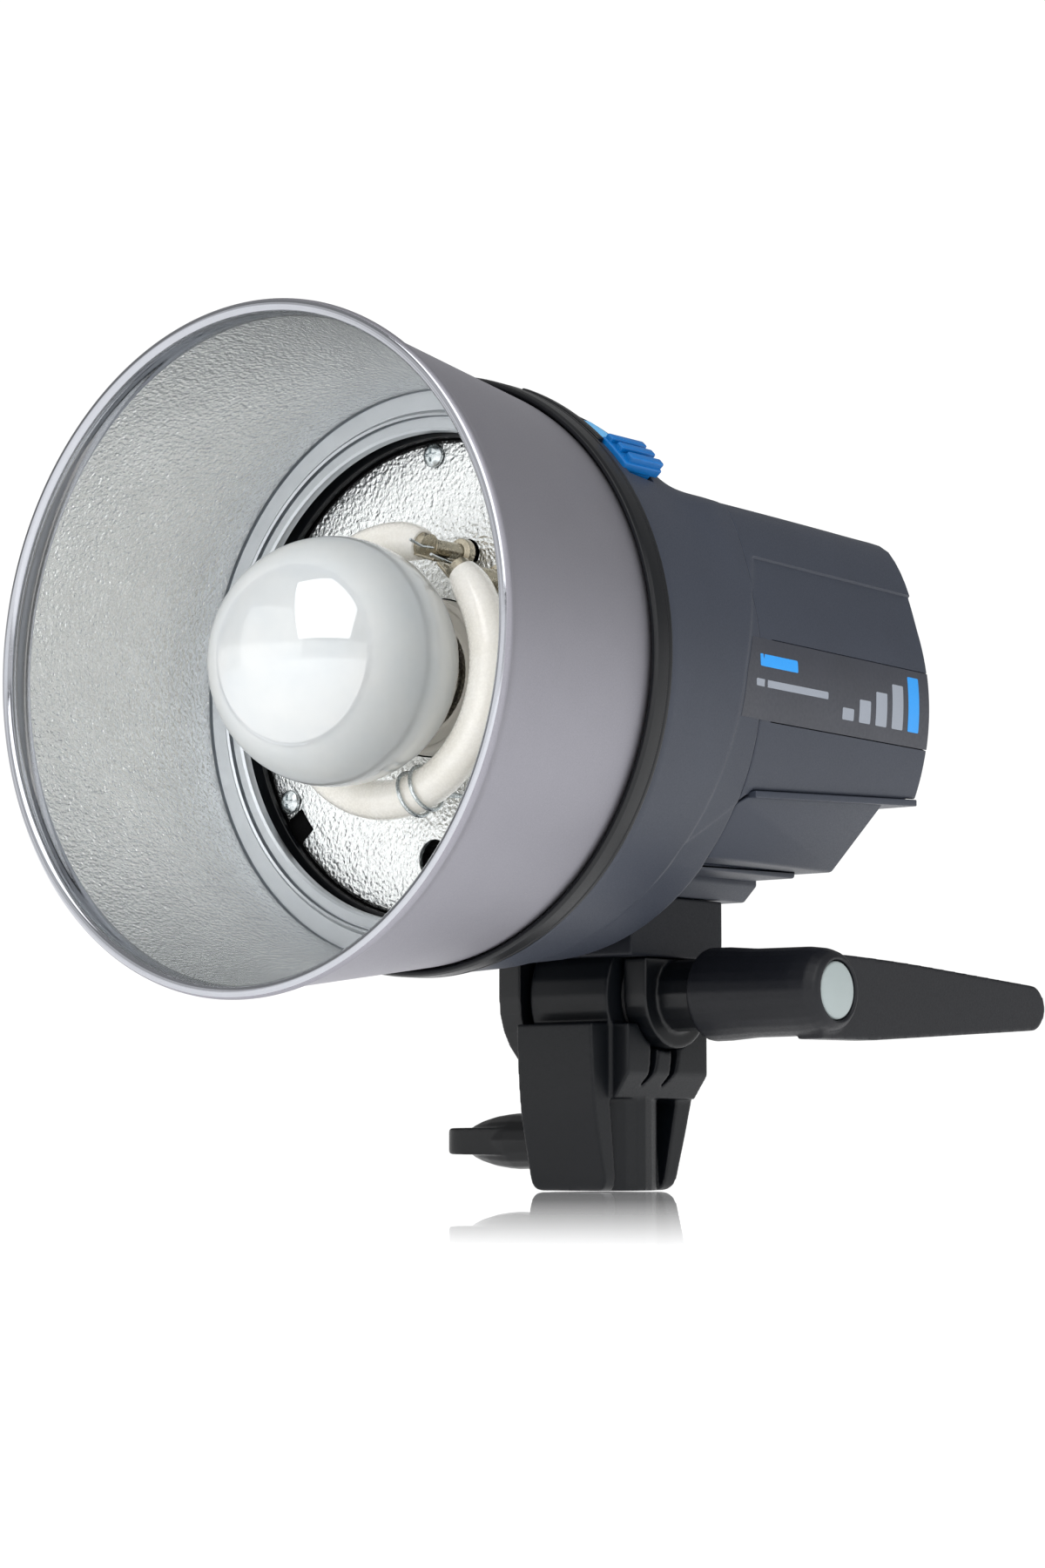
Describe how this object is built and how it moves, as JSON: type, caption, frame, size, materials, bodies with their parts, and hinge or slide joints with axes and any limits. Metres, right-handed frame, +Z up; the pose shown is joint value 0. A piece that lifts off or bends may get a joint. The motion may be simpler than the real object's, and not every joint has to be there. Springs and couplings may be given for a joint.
{
  "type": "monolight strobe",
  "caption": "Monolight studio strobe with a bowl reflector, ring flash tube, frosted modelling lamp, rear control panel and a tilting stand bracket with lever and clamp knob.",
  "frame": {"origin": "centre of the stand socket's mouth, on the flat base of the bracket", "axes": "+Z up along the stand socket, -Y the way the head points when level, +X the side with the tilt lever"},
  "size_m": [0.16, 0.2277, 0.2037],
  "materials": {
    "black_casting": "black powder coat on a die casting",
    "fibre_disc": "pressed fibre",
    "brass": "plain turned",
    "zinc_steel": "zinc plated",
    "black_plastic": "fine moulded grain",
    "lever_plastic": "fine moulded grain, glass filled",
    "housing_plastic": "satin moulded, dark blue-grey",
    "label_film": "satin printed film",
    "grey_plastic": "moulded grain",
    "button_plastic": "satin moulded",
    "blue_plastic": "semi-gloss moulded",
    "pale_blue_plastic": "semi-gloss moulded",
    "reflector_aluminium": "satin outside, hammered bright inside",
    "hammered_aluminium": "hammered bright",
    "ceramic": "unglazed white ceramic",
    "frosted_glass": "acid frosted",
    "clear_glass": "clear",
    "capacitor_sleeve": "sleeved can of wound foil",
    "panel_aluminium": "black powder coat",
    "cap_aluminium": "rolled screw cap",
    "core_steel": "varnished laminations",
    "copper_winding": "enamelled winding",
    "circuit_board": "solder mask",
    "display_plastic": "smoked window"
  },
  "bodies": {
    "bracket": {"bracket_casting": "black_casting", "friction_disc_left": "fibre_disc", "friction_disc_right": "fibre_disc"},
    "clamp_shoe": {"clamp_shoe": "brass"},
    "clamp_knob": {"clamp_screw": "zinc_steel", "clamp_paddle": "black_plastic"},
    "head": {"front_bell": "housing_plastic", "upper_body": "housing_plastic", "lower_tray": "housing_plastic", "side_label_left": "label_film", "side_label_right": "label_film", "tilt_lug": "grey_plastic", "tilt_ear_left": "black_plastic", "tilt_ear_right": "black_plastic", "tilt_bolt": "zinc_steel", "front_ring": "black_plastic", "lock_cover": "black_plastic", "base_plate": "hammered_aluminium", "bulkhead": "black_plastic", "base_screw_1": "zinc_steel", "base_screw_2": "zinc_steel", "base_screw_3": "zinc_steel", "lamp_socket": "ceramic", "lamp_cap": "cap_aluminium", "lamp_globe": "frosted_glass", "flash_tube": "clear_glass", "electrode_1": "zinc_steel", "electrode_2": "zinc_steel", "tube_clip": "zinc_steel", "umbrella_tube": "zinc_steel", "flash_capacitor_1": "capacitor_sleeve", "flash_capacitor_2": "capacitor_sleeve", "transformer_core": "core_steel", "transformer_coil": "copper_winding", "main_board": "circuit_board", "control_board": "circuit_board", "fan_frame": "black_plastic", "rear_panel": "panel_aluminium", "panel_screw_1": "zinc_steel", "panel_screw_2": "zinc_steel", "mains_inlet": "black_plastic", "inlet_pin_1": "brass", "inlet_pin_2": "brass", "inlet_pin_3": "brass", "sync_socket": "zinc_steel", "display_window": "display_plastic", "cell_dome": "clear_glass"},
    "tilt_lever": {"tilt_lever": "lever_plastic"},
    "lever_button": {"lever_button": "button_plastic"},
    "reflector": {"reflector": "reflector_aluminium", "reflector_collar": "zinc_steel"},
    "reflector_lock": {"lock_grip": "blue_plastic", "lock_band": "pale_blue_plastic"},
    "fan_rotor": {"fan_rotor": "black_plastic"},
    "power_rocker": {"power_rocker": "black_plastic"},
    "fuse_cap": {"fuse_cap": "black_plastic"},
    "panel_button_1": {"panel_button_1": "grey_plastic"},
    "panel_button_2": {"panel_button_2": "grey_plastic"},
    "panel_button_3": {"panel_button_3": "grey_plastic"},
    "panel_button_4": {"panel_button_4": "grey_plastic"}
  },
  "joints": [
    {"name": "head_tilt", "type": "hinge", "parent": "bracket", "child": "head", "pos_m": [0, 0.004, 0.0486], "axis": [1, 0, 0], "range_deg": [-40, 38]},
    {"name": "clamp_advance", "type": "slide", "parent": "bracket", "child": "clamp_shoe", "axis": [1, 0, 0], "range_m": [0, 0.0016]},
    {"name": "clamp_turn", "type": "hinge", "parent": "clamp_shoe", "child": "clamp_knob", "pos_m": [-0.03, 0, 0.0124], "axis": [1, 0, 0], "range_deg": [0, 461]},
    {"name": "lever_turn", "type": "hinge", "parent": "head", "child": "tilt_lever", "pos_m": [0.05, 0.004, 0.0486], "axis": [1, 0, 0], "range_deg": [-60, 20]},
    {"name": "lever_button_press", "type": "slide", "parent": "tilt_lever", "child": "lever_button", "axis": [-1, 0, 0], "range_m": [0, 0.003], "stiffness_N_per_m": 300, "springref_m": -0.001},
    {"name": "reflector_twist", "type": "hinge", "parent": "head", "child": "reflector", "pos_m": [0, -0.07, 0.1237], "axis": [0, -1, 0], "range_deg": [0, 26]},
    {"name": "lock_slide", "type": "hinge", "parent": "head", "child": "reflector_lock", "pos_m": [0, -0.055, 0.1237], "axis": [0, -1, 0], "range_deg": [0, 10], "stiffness_Nm_per_rad": 0.5, "springref_deg": -5.73},
    {"name": "fan_spin", "type": "hinge", "parent": "head", "child": "fan_rotor", "pos_m": [0, -0.031, 0.1487], "axis": [0, 1, 0], "continuous": true},
    {"name": "power_switch", "type": "hinge", "parent": "head", "child": "power_rocker", "pos_m": [-0.038, 0.054, 0.1157], "axis": [1, 0, 0], "range_deg": [0, 11.4]},
    {"name": "fuse_cap_turn", "type": "hinge", "parent": "head", "child": "fuse_cap", "pos_m": [0.024, 0.055, 0.1157], "axis": [0, 1, 0], "range_deg": [0, 90]},
    {"name": "panel_button_1_press", "type": "slide", "parent": "head", "child": "panel_button_1", "axis": [0, -1, 0], "range_m": [0, 0.0015], "stiffness_N_per_m": 300, "springref_m": -0.0005},
    {"name": "panel_button_2_press", "type": "slide", "parent": "head", "child": "panel_button_2", "axis": [0, -1, 0], "range_m": [0, 0.0015], "stiffness_N_per_m": 300, "springref_m": -0.0005},
    {"name": "panel_button_3_press", "type": "slide", "parent": "head", "child": "panel_button_3", "axis": [0, -1, 0], "range_m": [0, 0.0015], "stiffness_N_per_m": 300, "springref_m": -0.0005},
    {"name": "panel_button_4_press", "type": "slide", "parent": "head", "child": "panel_button_4", "axis": [0, -1, 0], "range_m": [0, 0.0015], "stiffness_N_per_m": 300, "springref_m": -0.0005}
  ],
  "couplings": [
    {"joint": "clamp_turn", "follows": "clamp_advance", "rad_per_m": 5026.5}
  ]
}
